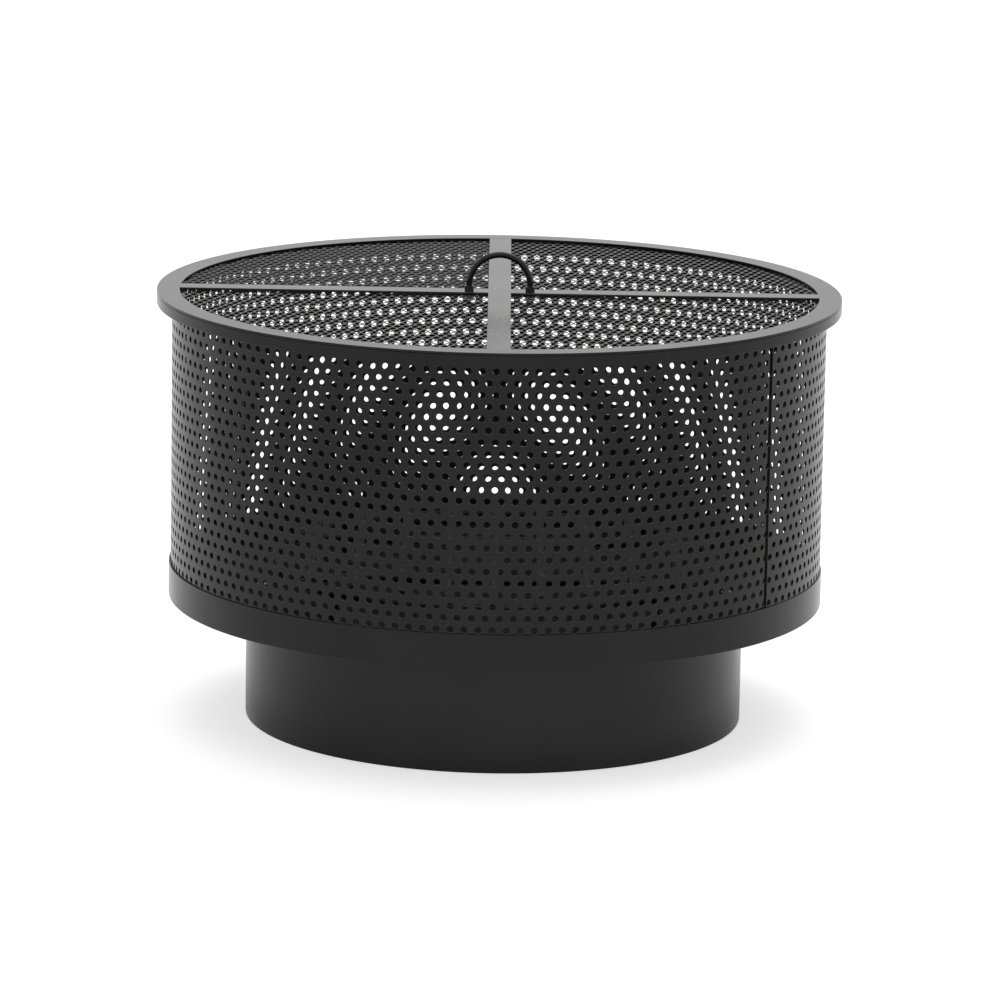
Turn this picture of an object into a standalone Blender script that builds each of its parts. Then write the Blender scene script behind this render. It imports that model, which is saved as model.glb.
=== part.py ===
"""Fire pit: a perforated steel drum on a plinth, with a lift-off spark lid and a fuel grate.

Metres, +Z up, front at -Y. The origin is the centre of the circle that the plinth stands on.
"""

import bmesh
import bpy
from math import cos, floor, pi, radians, sin, sqrt, tan, tau
from mathutils import Matrix, Vector

# Clearances between pieces that touch on the real product
SEAT_GAP = 0.0003
STUD_PLAY = 0.0003

# Plinth: a rolled sheet with a hem to stand on and a flange to bolt to
PLINTH_RADIUS = 0.2195
PLINTH_HEIGHT = 0.1075
PLINTH_SHEET = 0.0015
HEM_WIDTH = 0.010
PLINTH_FLANGE_WIDTH = 0.024

# Fire pan: a shallow pressed dish whose upstand is the plain band round the drum's foot
PAN_SHEET = 0.0015
PAN_DEPTH = 0.030
PAN_CORNER = 0.0025
DRAIN_HOLE_DIAMETER = 0.008
DRAIN_CIRCLE_RADIUS = 0.085
DRAIN_HOLES = 6

# Drum: a perforated strip rolled to a cylinder, its inner end lapped behind its outer end
DRUM_RADIUS = 0.2866
DRUM_HEIGHT = 0.2655
DRUM_SHEET = 0.0012
HOLES_AROUND = 36
HOLE_SHARE_OF_PITCH = 0.52
LAP_WIDTH = 0.015
LAP_GAP = 0.0005
LAP_ANGLE_FROM_FRONT = radians(55)
STRIP_EDGE_LAND = 0.0006

# Rim: an angle ring round the drum's mouth, standing out past the drum and just proud of its top
RIM_OVERHANG = 0.0134
RIM_SHEET = 0.002
RIM_OVERLAP = 0.008
RIM_PROUD = 0.001

# Spark lid: flat bar ring and cross bars over a net that a wire hoop holds
FLAT_BAR_WIDTH = 0.020
FLAT_BAR_THICKNESS = 0.002
FLAT_BAR_EDGE = 0.0004
NET_SHEET = 0.0008
NET_CELL_LONG = 0.080
NET_CELL_WIDE = 0.040
NET_STRAND = 0.0045
NET_SELVEDGE = 0.006
HOOP_WIRE = 0.005
HOOP_CLEARANCE = 0.0025

# Lid handle: a half loop of threaded wire on the side bars
HANDLE_WIRE = 0.005
HANDLE_SPAN = 0.0534
HANDLE_LEG = 0.0033
HANDLE_STUD_END = 0.001
NUT_FLATS = 0.008
NUT_HEIGHT = 0.004
WASHER_DIAMETER = 0.015
WASHER_THICKNESS = 0.001

# Bolts between pan and plinth
BOLT_COUNT = 4
BOLT_DIAMETER = 0.006
BOLT_HEAD_FLATS = 0.010
BOLT_HEAD_HEIGHT = 0.004
BOLT_WASHER_DIAMETER = 0.0165
BOLT_WASHER_THICKNESS = 0.0012
BOLT_NUT_HEIGHT = 0.005
BOLT_END = 0.0015

# Fuel grate: round bars on a ring with four feet
GRATE_RADIUS = 0.196
GRATE_ROD = 0.008
GRATE_LEG_HEIGHT = 0.024
GRATE_BAR_PITCH = 0.040
GRATE_CROSS_OFFSET = 0.080
GRATE_LEG_ANGLES = (45, 135, 225, 315)

# Facets: the shells share one polygon, so that nested rings keep their gaps
RING_SIDES = 2 * HOLES_AROUND
HOOP_SIDES = 36
ROD_SIDES = 8
SMALL_HOLE_SIDES = 12
HANDLE_ARC_STEPS = 14
SAME_POINT = 0.0001

# Heights and radii that follow from the sizes above
PAN_BASE = PLINTH_HEIGHT + SEAT_GAP
PAN_FLOOR = PAN_BASE + PAN_SHEET
PAN_TOP = PAN_BASE + PAN_DEPTH
PAN_RADIUS = DRUM_RADIUS + SEAT_GAP + PAN_SHEET
PAN_BEND_TOP = PAN_BASE + PAN_CORNER + PAN_SHEET * tan(pi / 8)
DRUM_FOOT = PAN_BEND_TOP + SEAT_GAP
DRUM_TOP = DRUM_FOOT + DRUM_HEIGHT
DRUM_BORE = DRUM_RADIUS - DRUM_SHEET
RIM_TOP = DRUM_TOP + RIM_PROUD
RIM_FOOT = DRUM_TOP - RIM_OVERLAP
LID_BASE = RIM_TOP + SEAT_GAP
LID_TOP = LID_BASE + FLAT_BAR_THICKNESS
RIM_RADIUS = DRUM_RADIUS + RIM_OVERHANG
LID_BORE = RIM_RADIUS - FLAT_BAR_WIDTH
NET_TOP = LID_BASE - SEAT_GAP
NET_BASE = NET_TOP - NET_SHEET
HOOP_RADIUS = DRUM_BORE - HOOP_CLEARANCE - HOOP_WIRE / 2
HOOP_HEIGHT = NET_BASE - SEAT_GAP - HOOP_WIRE / 2
NET_RADIUS = HOOP_RADIUS + HOOP_WIRE / 2
BOLT_CIRCLE_RADIUS = PLINTH_RADIUS - PLINTH_SHEET - PLINTH_FLANGE_WIDTH / 2
STUD_HOLE = HANDLE_WIRE / 2 + STUD_PLAY
BOLT_HOLE = BOLT_DIAMETER / 2 + STUD_PLAY
GRATE_RING_HEIGHT = PAN_FLOOR + 2 * SEAT_GAP + GRATE_LEG_HEIGHT + GRATE_ROD / 2
GRATE_BAR_HEIGHT = GRATE_RING_HEIGHT + GRATE_ROD + SEAT_GAP


def clear_scene():
    for item in list(bpy.data.objects):
        bpy.data.objects.remove(item, do_unlink=True)


def new_collection(name):
    collection = bpy.data.collections.new(name)
    bpy.context.scene.collection.children.link(collection)
    return collection


clear_scene()
FIRE_PIT = new_collection("fire_pit")
CUTTERS = new_collection("cutters")


# Materials

def material(name, colour, roughness, metallic):
    paint = bpy.data.materials.new(name)
    paint.use_nodes = True
    shader = paint.node_tree.nodes["Principled BSDF"]
    shader.inputs["Base Color"].default_value = (*colour, 1.0)
    shader.inputs["Roughness"].default_value = roughness
    shader.inputs["Metallic"].default_value = metallic
    paint.diffuse_color = (*colour, 1.0)
    return paint


def black_paint(name):
    return material(name, (0.022, 0.022, 0.023), 0.42, 0.0)


def zinc_plate(name):
    return material(name, (0.45, 0.45, 0.44), 0.35, 1.0)


# Objects and modifiers

def add_object(name, mesh, finish=None, collection=None):
    item = bpy.data.objects.new(name, mesh)
    (collection or FIRE_PIT).objects.link(item)
    if finish:
        mesh.materials.append(finish(name + "_finish"))
    return item


def add_cutter(name, mesh):
    item = add_object(name, mesh, collection=CUTTERS)
    item.hide_render = True
    item.display_type = "WIRE"
    return item


def smooth(mesh, angle=radians(35)):
    mesh.shade_smooth()
    mesh.set_sharp_from_angle(angle=angle)


def mesh_from(bm, name):
    mesh = bpy.data.meshes.new(name)
    bm.to_mesh(mesh)
    bm.free()
    smooth(mesh)
    return mesh


def cut(target, cutter, operation="DIFFERENCE"):
    boolean = target.modifiers.new(cutter.name, "BOOLEAN")
    boolean.operation = operation
    boolean.object = cutter


def screw_modifier(item, sides):
    screw = item.modifiers.new("revolve", "SCREW")
    screw.steps = sides
    screw.render_steps = sides
    screw.use_merge_vertices = True
    screw.merge_threshold = SAME_POINT
    screw.use_smooth_shade = True


def solidify_modifier(item, thickness, offset):
    shell = item.modifiers.new("sheet", "SOLIDIFY")
    shell.thickness = thickness
    shell.offset = offset
    shell.use_even_offset = True


def profile_mesh(name, points, closed):
    bm = bmesh.new()
    corners = [bm.verts.new((radius, 0.0, height)) for radius, height in points]
    for first, second in zip(corners, corners[1:]):
        bm.edges.new((first, second))
    if closed:
        bm.edges.new((corners[-1], corners[0]))
    mesh = bpy.data.meshes.new(name)
    bm.to_mesh(mesh)
    bm.free()
    return mesh


def turned_ring(name, points, finish, sides=RING_SIDES):
    """A closed section, listed down its outer side first, turned about Z."""
    item = add_object(name, profile_mesh(name, points, True), finish)
    screw_modifier(item, sides)
    return item


def turned_sheet(name, points, thickness, finish):
    """An open section along the sheet's outer face, turned about Z and thickened inwards."""
    item = add_object(name, profile_mesh(name, points, False), finish)
    screw_modifier(item, RING_SIDES)
    solidify_modifier(item, thickness, -1.0)
    return item


def add_cylinder(bm, radius, bottom, top, centre=(0.0, 0.0), sides=SMALL_HOLE_SIDES, spin=0.0):
    place = Matrix.Translation((centre[0], centre[1], (bottom + top) / 2)) @ Matrix.Rotation(spin, 4, "Z")
    bmesh.ops.create_cone(bm, cap_ends=True, segments=sides, radius1=radius, radius2=radius,
                          depth=top - bottom, matrix=place)


def add_rod(bm, start, end, radius, sides=ROD_SIDES):
    start = Vector(start)
    end = Vector(end)
    along = (end - start).to_track_quat("Z", "Y").to_matrix().to_4x4()
    flat_up = Matrix.Rotation(pi / sides, 4, "Z")
    bmesh.ops.create_cone(bm, cap_ends=True, segments=sides, radius1=radius, radius2=radius,
                          depth=(end - start).length,
                          matrix=Matrix.Translation((start + end) / 2) @ along @ flat_up)


def add_box(bm, low, high):
    low = Vector(low)
    high = Vector(high)
    size = high - low
    place = Matrix.Translation((low + high) / 2) @ Matrix.Diagonal((*size, 1.0))
    bmesh.ops.create_cube(bm, size=1.0, matrix=place)


def circle_points(radius, count, start=0.0):
    steps = [start + tau * step / count for step in range(count)]
    return [(radius * cos(angle), radius * sin(angle)) for angle in steps]


def hole_cutter(name, centres, radius, bottom, top):
    bm = bmesh.new()
    for centre in centres:
        add_cylinder(bm, radius, bottom, top, centre)
    return add_cutter(name, mesh_from(bm, name))


def add_washer(bm, outer_radius, bore_radius, bottom, top, outer_sides, spin=0.0):
    """A washer or a nut: an outer prism and a round bore joined by flat end faces."""
    levels = []
    for height in (bottom, top):
        loops = []
        for radius, sides in ((outer_radius, outer_sides), (bore_radius, SMALL_HOLE_SIDES)):
            corners = [bm.verts.new((x, y, height)) for x, y in circle_points(radius, sides, spin)]
            loops.append([bm.edges.new((corners[step], corners[(step + 1) % sides])) for step in range(sides)])
        bmesh.ops.triangle_fill(bm, edges=loops[0] + loops[1], use_beauty=True)
        levels.append(loops)
    for lower, upper in zip(*levels):
        bmesh.ops.bridge_loops(bm, edges=lower + upper)
    bmesh.ops.recalc_face_normals(bm, faces=bm.faces)


def place_copies(name, bm, centres, finish):
    """One object for each copy of a repeated piece, all sharing one mesh."""
    mesh = mesh_from(bm, name)
    mesh.materials.append(finish(name + "_finish"))
    for number, (x, y) in enumerate(centres, 1):
        copy = add_object(f"{name}_{number}", mesh)
        copy.location = (x, y, 0.0)


def ring_copies(name, centres, outer_radius, bore_radius, bottom, top, outer_sides, finish, spin=0.0):
    bm = bmesh.new()
    add_washer(bm, outer_radius, bore_radius, bottom, top, outer_sides, spin)
    place_copies(name, bm, centres, finish)


# Plinth and its bolts

def bolt_centres():
    return circle_points(BOLT_CIRCLE_RADIUS, BOLT_COUNT)


def make_plinth():
    flange_edge = PLINTH_RADIUS - PLINTH_SHEET - PLINTH_FLANGE_WIDTH
    hem_edge = PLINTH_RADIUS - HEM_WIDTH
    section = [(flange_edge, PLINTH_HEIGHT), (PLINTH_RADIUS, PLINTH_HEIGHT),
               (PLINTH_RADIUS, 0.0), (hem_edge, 0.0)]
    plinth = turned_sheet("base_ring", section, PLINTH_SHEET, black_paint)
    below = PLINTH_HEIGHT - 2 * PLINTH_SHEET
    holes = hole_cutter("base_bolt_holes", bolt_centres(), BOLT_HOLE, below, PLINTH_HEIGHT + PLINTH_SHEET)
    cut(plinth, holes)


def make_bolts():
    washer_top = PLINTH_HEIGHT - PLINTH_SHEET - SEAT_GAP
    nut_top = washer_top - BOLT_WASHER_THICKNESS - SEAT_GAP
    nut_base = nut_top - BOLT_NUT_HEIGHT
    head_base = PAN_FLOOR + SEAT_GAP
    head_radius = BOLT_HEAD_FLATS / sqrt(3)
    bm = bmesh.new()
    add_cylinder(bm, BOLT_DIAMETER / 2, nut_base - BOLT_END, head_base)
    add_cylinder(bm, head_radius, head_base, head_base + BOLT_HEAD_HEIGHT, sides=6)
    join_at_level(bm, head_base)
    place_copies("base_bolt", bm, bolt_centres(), zinc_plate)
    ring_copies("base_washer", bolt_centres(), BOLT_WASHER_DIAMETER / 2, BOLT_HOLE,
                washer_top - BOLT_WASHER_THICKNESS, washer_top, SMALL_HOLE_SIDES, zinc_plate)
    ring_copies("base_nut", bolt_centres(), head_radius, BOLT_HOLE, nut_base, nut_top, 6, zinc_plate)


def join_at_level(bm, level):
    """Fuses two stacked prisms that share a plane: their inner caps go and the step is filled."""
    caps = [face for face in bm.faces if all(abs(vert.co.z - level) < SAME_POINT for vert in face.verts)]
    bmesh.ops.delete(bm, geom=caps, context="FACES_ONLY")
    rims = [edge for edge in bm.edges if edge.is_boundary]
    bmesh.ops.triangle_fill(bm, edges=rims, use_beauty=True)
    bmesh.ops.recalc_face_normals(bm, faces=bm.faces)


# Fire pan

def make_pan():
    section = [(PAN_RADIUS, PAN_TOP), (PAN_RADIUS, PAN_BASE + PAN_CORNER),
               (PAN_RADIUS - PAN_CORNER, PAN_BASE), (0.0, PAN_BASE)]
    pan = turned_sheet("fire_pan", section, PAN_SHEET, black_paint)
    below = PAN_BASE - PAN_SHEET
    above = PAN_FLOOR + PAN_SHEET
    cut(pan, hole_cutter("pan_bolt_holes", bolt_centres(), BOLT_HOLE, below, above))
    drains = circle_points(DRAIN_CIRCLE_RADIUS, DRAIN_HOLES, pi / DRAIN_HOLES)
    cut(pan, hole_cutter("pan_drain_holes", drains, DRAIN_HOLE_DIAMETER / 2, below, above))


# Perforated drum

class Strip:
    """The drum's sheet before rolling: x runs along the strip, z up it."""

    pitch = tau * DRUM_RADIUS / HOLES_AROUND
    cell_radius = pitch / sqrt(3)
    row_rise = pitch * sqrt(3) / 2
    hole_zone_base = PAN_TOP
    hole_zone_top = RIM_FOOT
    middle = (hole_zone_base + hole_zone_top) / 2
    reach = min(DRUM_TOP - middle, middle - DRUM_FOOT) - STRIP_EDGE_LAND - cell_radius
    rows = 1 + floor(2 * reach / row_rise)
    columns = HOLES_AROUND - 1
    length = tau * DRUM_RADIUS + LAP_WIDTH
    cells_start = (length - (columns + 0.5) * pitch) / 2
    lap_start = length - LAP_WIDTH
    outline_depth = cell_radius * 2 / 5


def cell_centre(row, column):
    shift = 0.5 * (row % 2) + 0.5
    height = Strip.middle + (row - (Strip.rows - 1) / 2) * Strip.row_rise
    return Strip.cells_start + (column + shift) * Strip.pitch, height


def add_hexagon(bm, centre_x, centre_z):
    angles = [pi / 6 + pi / 3 * corner for corner in range(6)]
    corners = [bm.verts.new((centre_x + Strip.cell_radius * cos(angle), 0.0,
                             centre_z + Strip.cell_radius * sin(angle))) for angle in angles]
    bm.faces.new(corners)


def edge_middle(edge):
    return (edge.verts[0].co + edge.verts[1].co) / 2


def pull_border(bm, picked, axis, value):
    """Extrudes border edges out to a straight line, as the plain edge of the sheet."""
    for item in bmesh.ops.extrude_edge_only(bm, edges=picked)["geom"]:
        if isinstance(item, bmesh.types.BMVert):
            item.co[axis] = value


def side_of_strip(point):
    """Which of the strip's four edges a point of the cells' outline faces."""
    lowest = cell_centre(0, 0)[1] - Strip.outline_depth
    highest = cell_centre(Strip.rows - 1, 0)[1] + Strip.outline_depth
    if point.z > highest:
        return "top"
    if point.z < lowest:
        return "foot"
    return "near end" if point.x < Strip.length / 2 else "far end"


def border(bm, side):
    return [edge for edge in bm.edges if edge.is_boundary and side_of_strip(edge_middle(edge)) == side]


def flat_strip():
    """Staggered cells with plain borders round them; each cell's middle is punched out."""
    bm = bmesh.new()
    for row in range(Strip.rows):
        for column in range(Strip.columns):
            add_hexagon(bm, *cell_centre(row, column))
    bmesh.ops.remove_doubles(bm, verts=bm.verts, dist=SAME_POINT)
    cells = list(bm.faces)
    for side, edge_x in (("near end", LAP_WIDTH), ("near end", 0.0),
                         ("far end", Strip.lap_start), ("far end", Strip.length)):
        pull_border(bm, border(bm, side), 0, edge_x)
    pull_border(bm, border(bm, "top"), 2, DRUM_TOP)
    pull_border(bm, border(bm, "foot"), 2, DRUM_FOOT)
    web = Strip.pitch * (1 - HOLE_SHARE_OF_PITCH)
    bmesh.ops.inset_individual(bm, faces=cells, thickness=web / 2, use_even_offset=True)
    bmesh.ops.delete(bm, geom=cells, context="FACES")
    return bm


def roll(bm):
    """Wraps the strip round Z, with the far end jogged in behind the near end."""
    side_angle = tau / RING_SIDES
    lap_angle = LAP_ANGLE_FROM_FRONT - pi / 2
    first_column = round(lap_angle / side_angle) * side_angle
    for vert in bm.verts:
        along = vert.co.x
        angle = first_column + (along - Strip.cells_start) / DRUM_RADIUS
        lapped = along > Strip.lap_start - SAME_POINT
        radius = DRUM_RADIUS - (DRUM_SHEET + LAP_GAP if lapped else 0.0)
        vert.co = (radius * cos(angle), radius * sin(angle), vert.co.z)


def make_drum():
    bm = flat_strip()
    roll(bm)
    bmesh.ops.recalc_face_normals(bm, faces=bm.faces)
    if sum(face.normal.x * face.calc_center_median().x for face in bm.faces) < 0:
        bmesh.ops.reverse_faces(bm, faces=bm.faces)
    drum = add_object("perforated_wall", mesh_from(bm, "perforated_wall"), black_paint)
    shell = drum.modifiers.new("sheet", "SOLIDIFY")
    shell.thickness = DRUM_SHEET
    shell.offset = -1.0


def make_rim():
    flange_base = RIM_TOP - RIM_SHEET
    bore = DRUM_RADIUS + SEAT_GAP
    section = [(RIM_RADIUS, RIM_TOP), (RIM_RADIUS, RIM_FOOT),
               (RIM_RADIUS - RIM_SHEET, RIM_FOOT), (RIM_RADIUS - RIM_SHEET, flange_base),
               (bore, flange_base), (bore, RIM_TOP)]
    turned_ring("rim_ring", section, black_paint)


# Spark lid

def make_lid_ring():
    section = [(RIM_RADIUS, LID_TOP), (RIM_RADIUS, LID_BASE), (LID_BORE, LID_BASE), (LID_BORE, LID_TOP)]
    turned_ring("lid_ring", section, black_paint)


def bar_reach():
    """How far a bar runs out before its corners meet the polygon of the ring's bore."""
    half_width = FLAT_BAR_WIDTH / 2
    return sqrt(LID_BORE ** 2 - half_width ** 2) * cos(pi / RING_SIDES) - SEAT_GAP


def flat_bar(name, low, high):
    bm = bmesh.new()
    add_box(bm, (*low, LID_BASE), (*high, LID_TOP))
    bar = add_object(name, mesh_from(bm, name), black_paint)
    edge = bar.modifiers.new("eased_edges", "BEVEL")
    edge.width = FLAT_BAR_EDGE
    edge.segments = 1
    return bar


def make_cross_bars():
    half_width = FLAT_BAR_WIDTH / 2
    inner = half_width + SEAT_GAP
    outer = bar_reach()
    flat_bar("long_cross_bar", (-half_width, -outer), (half_width, outer))
    left = flat_bar("left_cross_bar", (-outer, -half_width), (-inner, half_width))
    right = flat_bar("right_cross_bar", (inner, -half_width), (outer, half_width))
    below = LID_BASE - FLAT_BAR_THICKNESS
    above = LID_TOP + FLAT_BAR_THICKNESS
    for bar, centre in zip((left, right), stud_centres()):
        cut(bar, hole_cutter(bar.name + "_hole", [centre], STUD_HOLE, below, above))


def stud_centres():
    return [(-HANDLE_SPAN / 2, 0.0), (HANDLE_SPAN / 2, 0.0)]


def net_gap_centres():
    """Centres of the diamond gaps, in rows that step half a cell sideways."""
    across = floor(NET_RADIUS / NET_CELL_WIDE) + 1
    along = floor(NET_RADIUS / NET_CELL_LONG) + 1
    centres = [(column * NET_CELL_WIDE, row * NET_CELL_LONG)
               for row in range(-along, along + 1) for column in range(-across, across + 1)]
    shifted = [(x + NET_CELL_WIDE / 2, y + NET_CELL_LONG / 2) for x, y in centres]
    return [(x, y) for x, y in centres + shifted if sqrt(x * x + y * y) < NET_RADIUS - NET_SELVEDGE]


def make_net():
    below = NET_BASE - NET_SHEET
    above = NET_TOP + NET_SHEET
    window = bmesh.new()
    add_cylinder(window, NET_RADIUS - NET_SELVEDGE, below, above, sides=RING_SIDES)
    window = add_cutter("net_window", mesh_from(window, "net_window"))
    pads = hole_cutter("net_pads", stud_centres(), WASHER_DIAMETER / 2, below - NET_SHEET, above + NET_SHEET)
    cut(window, pads)
    gaps = bmesh.new()
    slope = sqrt(NET_CELL_LONG ** 2 + NET_CELL_WIDE ** 2)
    shrink = 1 - NET_STRAND * slope / (NET_CELL_LONG * NET_CELL_WIDE)
    stretch = Matrix.Diagonal((NET_CELL_WIDE / 2 * shrink, NET_CELL_LONG / 2 * shrink, 1.0, 1.0))
    for x, y in net_gap_centres():
        place = Matrix.Translation((x, y, (below + above) / 2)) @ stretch
        bmesh.ops.create_cone(gaps, cap_ends=True, segments=4, radius1=1.0, radius2=1.0,
                              depth=above - below + NET_SHEET, matrix=place)
    gaps = add_cutter("net_gaps", mesh_from(gaps, "net_gaps"))
    cut(gaps, window, "INTERSECT")
    disc = bmesh.new()
    add_cylinder(disc, NET_RADIUS, NET_BASE, NET_TOP, sides=RING_SIDES)
    net = add_object("spark_net", mesh_from(disc, "spark_net"), black_paint)
    cut(net, gaps)
    cut(net, hole_cutter("net_stud_holes", stud_centres(), STUD_HOLE, below, above))


def make_hoop():
    turns = [-tau * step / ROD_SIDES for step in range(ROD_SIDES)]
    section = [(HOOP_RADIUS + HOOP_WIRE / 2 * cos(angle), HOOP_HEIGHT + HOOP_WIRE / 2 * sin(angle))
               for angle in turns]
    turned_ring("net_hoop", section, black_paint, HOOP_SIDES)


def handle_points():
    """From one threaded end up its leg, over the half loop and down to the other end."""
    half = HANDLE_SPAN / 2
    nut_top = NET_BASE - WASHER_THICKNESS - 2 * SEAT_GAP
    end = nut_top - NUT_HEIGHT - HANDLE_STUD_END
    spring = LID_TOP + HANDLE_LEG
    arc = [(half * cos(angle), spring + half * sin(angle))
           for angle in (pi * step / HANDLE_ARC_STEPS for step in range(HANDLE_ARC_STEPS + 1))]
    return [(half, end), *arc, (-half, end)]


def make_handle():
    curve = bpy.data.curves.new("lid_handle", "CURVE")
    curve.dimensions = "3D"
    curve.bevel_depth = HANDLE_WIRE / 2
    curve.bevel_resolution = 2
    curve.use_fill_caps = True
    points = handle_points()
    spline = curve.splines.new("POLY")
    spline.points.add(len(points) - 1)
    for point, (x, z) in zip(spline.points, points):
        point.co = (x, 0.0, z, 1.0)
    add_object("lid_handle", curve, black_paint)


def make_handle_nuts():
    across_corners = NUT_FLATS / sqrt(3)
    nut_seat = LID_TOP + SEAT_GAP
    washer_top = NET_BASE - SEAT_GAP
    washer_base = washer_top - WASHER_THICKNESS
    lower_nut_top = washer_base - SEAT_GAP
    ring_copies("handle_top_nut", stud_centres(), across_corners, STUD_HOLE,
                nut_seat, nut_seat + NUT_HEIGHT, 6, black_paint, pi / 6)
    ring_copies("handle_washer", stud_centres(), WASHER_DIAMETER / 2, STUD_HOLE,
                washer_base, washer_top, SMALL_HOLE_SIDES, zinc_plate)
    ring_copies("handle_lower_nut", stud_centres(), across_corners, STUD_HOLE,
                lower_nut_top - NUT_HEIGHT, lower_nut_top, 6, zinc_plate)


# Fuel grate

def grate_rod(name, start, end):
    bm = bmesh.new()
    add_rod(bm, start, end, GRATE_ROD / 2)
    add_object(name, mesh_from(bm, name), black_paint)


def chord(radius, offset):
    return sqrt(radius ** 2 - offset ** 2)


def make_grate_ring():
    turns = [pi / ROD_SIDES - tau * step / ROD_SIDES for step in range(ROD_SIDES)]
    section = [(GRATE_RADIUS + GRATE_ROD / 2 * cos(angle), GRATE_RING_HEIGHT + GRATE_ROD / 2 * sin(angle))
               for angle in turns]
    turned_ring("grate_ring", section, black_paint, HOOP_SIDES)


def make_grate_bars():
    """Bars laid on the ring and on two ties that butt against its inner side."""
    count = floor((GRATE_RADIUS - GRATE_ROD) / GRATE_BAR_PITCH)
    for number, step in enumerate(range(-count, count + 1), 1):
        x = step * GRATE_BAR_PITCH
        reach = chord(GRATE_RADIUS, x)
        grate_rod(f"grate_bar_{number}", (x, -reach, GRATE_BAR_HEIGHT), (x, reach, GRATE_BAR_HEIGHT))
    ring_bore = (GRATE_RADIUS - GRATE_ROD / 2) * cos(pi / HOOP_SIDES)
    reach = chord(ring_bore, GRATE_CROSS_OFFSET + GRATE_ROD / 2) - SEAT_GAP
    for name, y in (("grate_front_tie", -GRATE_CROSS_OFFSET), ("grate_rear_tie", GRATE_CROSS_OFFSET)):
        grate_rod(name, (-reach, y, GRATE_RING_HEIGHT), (reach, y, GRATE_RING_HEIGHT))


def make_grate_legs():
    foot = PAN_FLOOR + SEAT_GAP
    for number, degrees in enumerate(GRATE_LEG_ANGLES, 1):
        x = GRATE_RADIUS * cos(radians(degrees))
        y = GRATE_RADIUS * sin(radians(degrees))
        grate_rod(f"grate_leg_{number}", (x, y, foot), (x, y, foot + GRATE_LEG_HEIGHT))


make_plinth()
make_bolts()
make_pan()
make_drum()
make_rim()
make_lid_ring()
make_cross_bars()
make_net()
make_hoop()
make_handle()
make_handle_nuts()
make_grate_ring()
make_grate_bars()
make_grate_legs()
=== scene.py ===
"""Looks of the fire pit: a perforated steel drum on a plinth, its lift-off spark lid and its grate."""

from math import cos, pi, radians, sin, sqrt, tau

import bmesh
import bpy
import numpy as np
from mathutils import Matrix, Vector


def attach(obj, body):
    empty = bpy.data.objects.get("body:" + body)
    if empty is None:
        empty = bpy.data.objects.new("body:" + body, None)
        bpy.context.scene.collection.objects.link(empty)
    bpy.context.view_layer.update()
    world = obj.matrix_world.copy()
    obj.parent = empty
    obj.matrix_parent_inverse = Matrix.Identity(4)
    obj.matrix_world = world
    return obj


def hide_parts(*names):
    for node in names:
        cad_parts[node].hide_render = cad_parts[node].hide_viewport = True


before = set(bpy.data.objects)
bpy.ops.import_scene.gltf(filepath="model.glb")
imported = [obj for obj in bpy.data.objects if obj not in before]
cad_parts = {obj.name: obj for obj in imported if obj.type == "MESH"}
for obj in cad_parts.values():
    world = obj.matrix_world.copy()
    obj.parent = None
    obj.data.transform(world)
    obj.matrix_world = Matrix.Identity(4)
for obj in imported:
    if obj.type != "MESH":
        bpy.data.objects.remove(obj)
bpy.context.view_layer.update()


# Plinth: a strip of 1.5 mm mild steel rolled to a cylinder, its ends butt-welded at the back.
# The foot is hemmed inwards to stand on, the head flanged inwards to take the pan's four bolts.
# Everything of sheet or bar is sprayed with satin black stove paint; the plinth's is a paler black.

class Socket:
    """An output of a node tree, with Python's operators for its Math nodes."""

    def __init__(self, tree, output):
        self.tree = tree
        self.output = output

    def maths(self, operation, first, second):
        node = self.tree.nodes.new("ShaderNodeMath")
        node.operation = operation
        feed(self.tree, node.inputs[0], first)
        feed(self.tree, node.inputs[1], second)
        return Socket(self.tree, node.outputs[0])

    def __add__(self, other):
        return self.maths("ADD", self, other)

    def __radd__(self, other):
        return self.maths("ADD", other, self)

    def __sub__(self, other):
        return self.maths("SUBTRACT", self, other)

    def __rsub__(self, other):
        return self.maths("SUBTRACT", other, self)

    def __mul__(self, other):
        return self.maths("MULTIPLY", self, other)

    def __rmul__(self, other):
        return self.maths("MULTIPLY", other, self)


def feed(tree, socket, value):
    if isinstance(value, Socket):
        tree.links.new(value.output, socket)
    else:
        socket.default_value = value


class Finish:
    """A material on the bench: its node tree and the Principled shader at the end of it."""

    def __init__(self, name):
        self.material = bpy.data.materials.new(name)
        self.material.use_nodes = True
        self.tree = self.material.node_tree
        self.shader = self.tree.nodes["Principled BSDF"]

    def node(self, kind, settings=None, sockets=None, output=0):
        made = self.tree.nodes.new("ShaderNode" + kind)
        for name, value in (settings or {}).items():
            setattr(made, name, value)
        for name, value in (sockets or {}).items():
            feed(self.tree, made.inputs[name], value)
        return Socket(self.tree, made.outputs[output])

    def noise(self, place, scale, detail=2.0):
        return self.node("TexNoise", None, {"Vector": place, "Scale": scale, "Detail": detail})

    def ramp(self, value, low, high):
        return self.node("MapRange", {"interpolation_type": "SMOOTHSTEP"},
                         {"Value": value, "From Min": low, "From Max": high})

    def blend(self, share, first, second):
        return self.node("Mix", {"data_type": "RGBA"}, {0: share, 6: first, 7: second}, 2)

    def coat(self, **inputs):
        for name, value in inputs.items():
            feed(self.tree, self.shader.inputs[name.replace("_", " ")], value)

    def relief(self, height, depth, strength=1.0):
        bump = self.node("Bump", None, {"Height": height, "Distance": depth, "Strength": strength})
        feed(self.tree, self.shader.inputs["Normal"], bump)


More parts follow.
